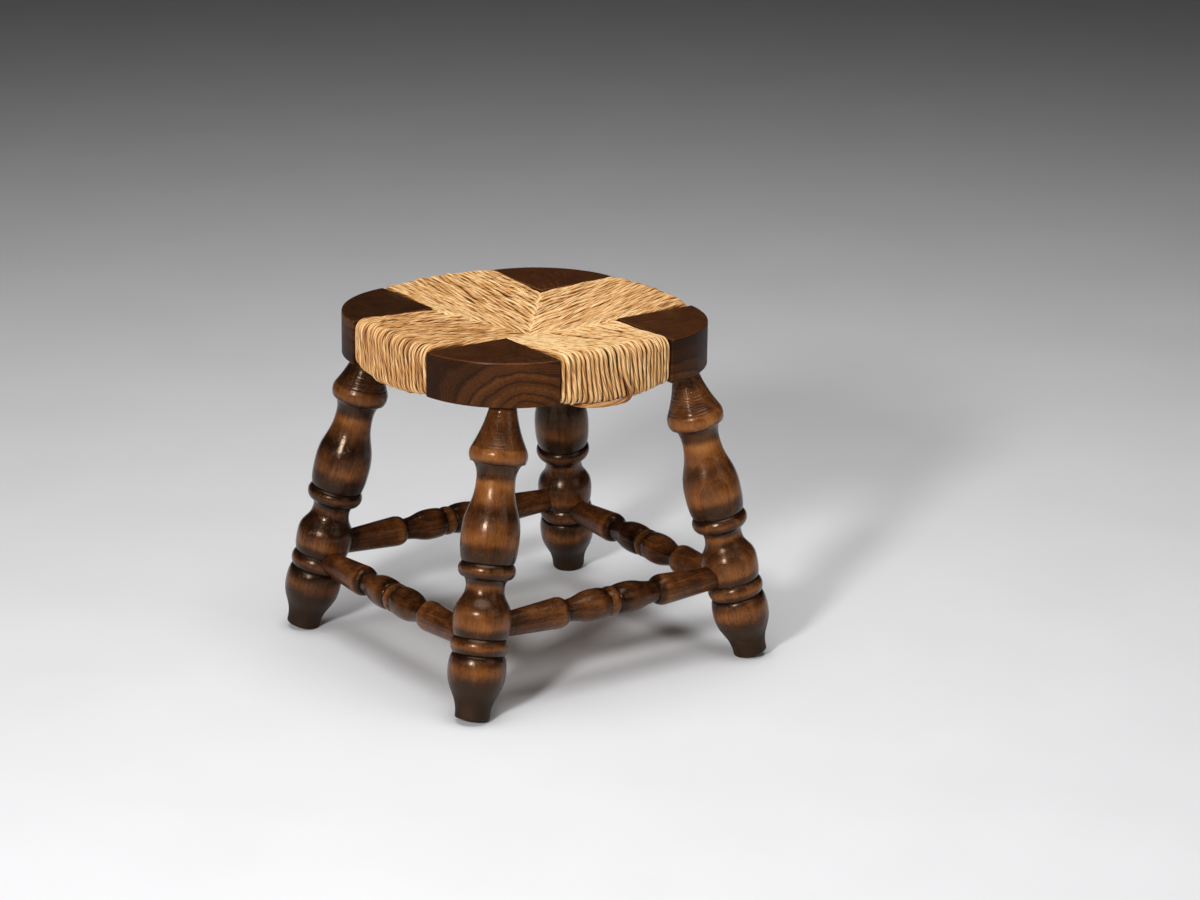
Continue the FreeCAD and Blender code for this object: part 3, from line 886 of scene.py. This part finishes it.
stuffingSettings = {
    "sideWall": 0.008, "seamWall": 0.014, "layer": 0.0072, "railGap": 0.001,
    "around": 28, "along": 18, "squareness": 0.45, "endPower": 4, "endShare": 0.02,
    "lump": 0.0012, "lumpScale": 70.0,
    "stops": [(0.3, (0.10, 0.05, 0.02)), (0.7, (0.34, 0.20, 0.085))],
    "strawStretch": 0.25, "strawScale": 500.0, "strawHeight": 0.0006, "gloss": (0.75, 0.9),
    "shader": {"Specular IOR Level": 0.2},
}


def stuffingMaterial():
    s = stuffingSettings
    material, tree = newMaterial("rushStuffing")
    source = put(tree, "ShaderNodeTexCoord").outputs["Object"]
    stretched = vectorCalc(tree, "MULTIPLY", source, (s["strawStretch"], 1.0, 1.0))
    straw = mottle(tree, stretched, s["strawScale"], 4.0, 0.6, 1.5)
    colour = ramp(tree, straw, s["stops"])
    roughness = evened(tree, straw, *s["gloss"])
    finishMaterial(tree, colour, roughness, bump(tree, straw, s["strawHeight"]), s["shader"])
    return material


def stuffingPad(side, material):
    s = stuffingSettings
    rush = RushSide(side)
    low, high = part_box("front_right_stuffing_pad")
    outer = -low.y - s["railGap"]
    inner = -high.y
    stations = [  # out from the middle of the seat, half width there
        (outer, halfSpan - s["sideWall"]),
        (halfSpan, halfSpan - s["seamWall"]),
        (inner, inner - s["seamWall"]),
    ]
    crownOut = rush.face(0) - rushSettings["topRound"]
    ring = s["around"]
    points, faces = [], []
    for k in range(s["along"] + 1):
        share = k / s["along"]
        out = outer + (inner - outer) * share
        first, second = stations[:2] if out > halfSpan else stations[1:]
        half = mixed((first[1], second[1]), (out - first[0]) / (second[0] - first[0]))
        top = rush.seamTop(0) + (rush.crown(0) - rush.seamTop(0)) * out / crownOut - s["layer"]
        bottom = rush.bottom(0, out) + s["layer"]
        middle = (top + bottom) / 2
        pull = s["endShare"]
        if 0 < share < 1:
            pull = (1 - abs(2 * share - 1) ** s["endPower"]) ** (1 / s["endPower"])
        for j in range(ring):
            angle = math.tau * j / ring
            c, w = math.cos(angle), math.sin(angle)
            x = math.copysign(abs(c) ** s["squareness"], c) * half * pull
            z = middle + math.copysign(abs(w) ** s["squareness"], w) * (top - bottom) / 2 * pull
            point = rush.place(x, out, z)
            lump = noise.noise(point * s["lumpScale"]) * s["lump"] - s["lump"]
            inward = (rush.place(0, out, middle) - point).normalized()
            points.append(point - inward * lump)
    for k in range(s["along"]):
        for j in range(ring):
            a, b = k * ring + j, k * ring + (j + 1) % ring
            faces.append((a, a + ring, b + ring, b))
    faces.append(tuple(range(ring)))
    faces.append(tuple(s["along"] * ring + j for j in range(ring - 1, -1, -1)))
    mesh = bpy.data.meshes.new(side + "_stuffing")
    mesh.from_pydata(points, [], faces)
    mesh.shade_smooth()
    mesh.materials.append(material)
    piece = bpy.data.objects.new(side + "_stuffing", mesh)
    scene.collection.objects.link(piece)
    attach(piece, "root")
    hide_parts(side + "_stuffing_pad")


stuffing = stuffingMaterial()
for side in sideTurns:
    stuffingPad(side, stuffing)
print("rush woven and stuffed")


# floor, light and camera

floorSettings = {
    "size": 30.0, "pale": (0.79, 0.79, 0.80), "deep": (0.75, 0.75, 0.76),
    "cloudScale": 6.0, "waveHeight": 0.0005, "gloss": (0.6, 0.75),
    "shader": {"Specular IOR Level": 0.2},
}
lightSettings = {
    "key": {"place": (-2.74, -1.65, 1.62), "size": 0.5, "power": 31.8, "spread": 110, "aim": (0.0, 0.0, 0.17)},
    "fill": {"place": (1.0, -2.4, 1.5), "size": 1.6, "power": 7.0, "spread": 180, "aim": (0.0, 0.0, 0.17)},
    "top": {"place": (-0.3, -0.5, 3.2), "size": 3.0, "power": 34.5, "spread": 105, "aim": (-0.3, -0.5, 0.0)},
    "world": (0.020, 0.020, 0.021),
}
cameraSettings = {
    "place": (-1.87948, -2.74388, 1.24027), "turn": (72.56182, -0.75182, -35.45161),
    "lens": 108.294, "sensor": 36.0,
}


def makeFloor():
    s = floorSettings
    half = s["size"] / 2
    mesh = bpy.data.meshes.new("floor")
    corners = [(-half, -half, 0), (half, -half, 0), (half, half, 0), (-half, half, 0)]
    mesh.from_pydata(corners, [], [(0, 1, 2, 3)])
    floor = bpy.data.objects.new("floor", mesh)
    scene.collection.objects.link(floor)
    material, tree = newMaterial("paleFloor")
    source = put(tree, "ShaderNodeTexCoord").outputs["Object"]
    cloud = mottle(tree, source, s["cloudScale"], 4.0)
    colour = mixColour(tree, cloud, (*s["deep"], 1), (*s["pale"], 1))
    roughness = evened(tree, cloud, *s["gloss"])
    finishMaterial(tree, colour, roughness, bump(tree, cloud, s["waveHeight"]), s["shader"])
    mesh.materials.append(material)


def makeLight(name):
    s = lightSettings[name]
    light = bpy.data.lights.new(name, "AREA")
    light.shape = "DISK"
    light.size = s["size"]
    light.energy = s["power"]
    light.spread = math.radians(s["spread"])
    lamp = bpy.data.objects.new(name, light)
    lamp.location = s["place"]
    lamp.rotation_euler = (Vector(s["aim"]) - lamp.location).to_track_quat("-Z", "Y").to_euler()
    scene.collection.objects.link(lamp)


makeFloor()
for lampName in ("key", "fill", "top"):
    makeLight(lampName)
world = bpy.data.worlds.new("studio")
world.use_nodes = True
background = world.node_tree.nodes["Background"]
background.inputs["Color"].default_value = (*lightSettings["world"], 1)
background.inputs["Strength"].default_value = 1.0
scene.world = world
camera = bpy.data.objects.new("camera", bpy.data.cameras.new("camera"))
camera.location = cameraSettings["place"]
camera.rotation_euler = [math.radians(angle) for angle in cameraSettings["turn"]]
camera.data.sensor_fit = "HORIZONTAL"
camera.data.sensor_width = cameraSettings["sensor"]
camera.data.lens = cameraSettings["lens"]
scene.collection.objects.link(camera)
scene.camera = camera
scene.view_settings.view_transform = "Standard"
print("stage set")
